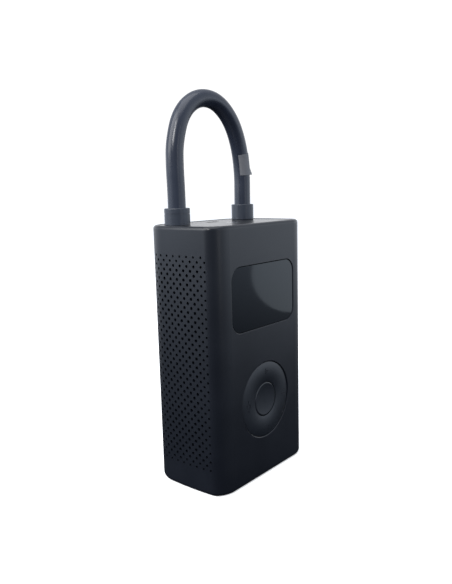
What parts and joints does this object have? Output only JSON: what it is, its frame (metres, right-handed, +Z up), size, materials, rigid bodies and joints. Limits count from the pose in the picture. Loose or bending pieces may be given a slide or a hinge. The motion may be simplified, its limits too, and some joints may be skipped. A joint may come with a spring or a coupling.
{
  "type": "cordless air pump",
  "caption": "Hand-held cordless air pump with a perforated case, display, round button pad and a short hose that stows as a loop.",
  "frame": {"origin": "centre of the base, on the surface the pump stands on", "axes": "+Z up along the case, the display and buttons face -Y, +X is the right side seen from the front"},
  "size_m": [0.071, 0.0453, 0.187],
  "materials": {
    "case": "fine satin texture",
    "cap": "satin",
    "window": "polished",
    "pad": "satin",
    "hose": "satin",
    "fitting_plastic": "satin",
    "label": "blank paper-like film",
    "brass": "machined",
    "steel": "ground",
    "screw": "black oxide",
    "alloy": "cast",
    "seal": "matt",
    "cell": "shrink film",
    "nickel": "plated",
    "magnet": "ferrite",
    "copper": "enamelled windings",
    "board": "solder mask",
    "module": "moulded",
    "inner_plastic": "moulded",
    "piston_plastic": "moulded",
    "clear": "clear",
    "lead": "insulated",
    "gasket": "fibre"
  },
  "bodies": {
    "root": {"body_shell": "case", "top_cap": "cap", "base_cap": "cap", "base_screws": "screw", "inner_frame": "inner_plastic", "display_window": "window", "display_module": "module", "main_board": "board", "key_board": "board", "tact_switches": "module", "battery_cell_left": "cell", "battery_cell_right": "cell", "cell_cradle": "inner_plastic", "cell_strips": "nickel", "motor_can": "steel", "motor_magnets": "magnet", "motor_end_cap": "inner_plastic", "motor_screws": "screw", "crank_bearing": "steel", "gearbox_bracket": "alloy", "cylinder": "alloy", "head_gasket": "gasket", "cylinder_head": "alloy", "head_bolts": "screw", "delivery_spring": "steel", "air_line": "seal", "outlet_fitting": "brass", "outlet_seal": "seal", "pressure_sensor": "module", "stow_socket": "inner_plastic", "hose_switch": "module", "top_board": "board", "usb_port": "steel", "lamp_lens": "clear", "power_leads": "lead"},
    "start_button": {"start_button": "pad"},
    "pad_carrier": {"pad_carrier": "inner_plastic"},
    "pad_ring": {"pad_ring": "pad"},
    "crank": {"crank_gear": "steel", "crank_shaft": "steel", "crank_weight": "steel"},
    "motor_rotor": {"motor_armature": "copper", "motor_shaft": "steel", "motor_pinion": "brass"},
    "piston": {"piston": "alloy", "piston_seal": "piston_plastic", "intake_reed": "steel", "wrist_pin": "steel"},
    "rod": {"connecting_rod": "alloy", "big_end_bearing": "steel", "crank_pin": "steel"},
    "delivery_valve": {"delivery_valve": "brass"},
    "hose": {"hose_tube": "hose", "hose_collar": "fitting_plastic", "hose_root_insert": "brass", "valve_stem": "brass", "valve_seal": "seal", "hose_tag": "label"},
    "valve_nut": {"valve_nut": "fitting_plastic"},
    "hose_switch_lever": {"hose_switch_lever": "steel"}
  },
  "joints": [
    {"name": "start_button_press", "type": "slide", "parent": "root", "child": "start_button", "axis": [0, 1, 0], "range_m": [0, 0.0006], "stiffness_N_per_m": 2500, "springref_m": -0.0003},
    {"name": "pad_rock_updown", "type": "hinge", "parent": "root", "child": "pad_carrier", "pos_m": [0, -0.0192, 0.0385], "axis": [1, 0, 0], "range_deg": [-1, 1], "stiffness_Nm_per_rad": 8},
    {"name": "pad_rock_leftright", "type": "hinge", "parent": "pad_carrier", "child": "pad_ring", "pos_m": [0, -0.0192, 0.0385], "axis": [0, 0, 1], "range_deg": [-1, 1], "stiffness_Nm_per_rad": 8},
    {"name": "crank_turn", "type": "hinge", "parent": "root", "child": "crank", "pos_m": [0.0118, 0.0045, 0.0323], "axis": [1, 0, 0], "continuous": true},
    {"name": "motor_turn", "type": "hinge", "parent": "root", "child": "motor_rotor", "pos_m": [0, 0.0045, 0.0155], "axis": [1, 0, 0], "continuous": true},
    {"name": "piston_stroke", "type": "slide", "parent": "root", "child": "piston", "axis": [0, 0, 1], "range_m": [0, 0.008]},
    {"name": "rod_swing", "type": "hinge", "parent": "piston", "child": "rod", "pos_m": [0.0195, 0.0045, 0.0543], "axis": [1, 0, 0], "range_deg": [-9, 9]},
    {"name": "delivery_valve_lift", "type": "slide", "parent": "root", "child": "delivery_valve", "axis": [0, 0, 1], "range_m": [0, 0.0008], "stiffness_N_per_m": 150, "springref_m": -0.002, "deforming": ["delivery_spring"]},
    {"name": "hose_lift", "type": "slide", "parent": "root", "child": "hose", "axis": [0, 0, 1], "range_m": [0, 0.03]},
    {"name": "valve_nut_turn", "type": "hinge", "parent": "hose", "child": "valve_nut", "pos_m": [0.0245, 0.009, 0.12], "axis": [0, 0, 1], "continuous": true},
    {"name": "hose_switch_release", "type": "hinge", "parent": "root", "child": "hose_switch_lever", "pos_m": [0.0193, 0.009, 0.1009], "axis": [0, -1, 0], "range_deg": [0, 8.2]}
  ],
  "couplings": [
    {"joint": "motor_turn", "follows": "crank_turn", "ratio": -3},
    {"joint": "hose_switch_release", "follows": "hose_lift", "rad_per_m": 4.6542}
  ]
}
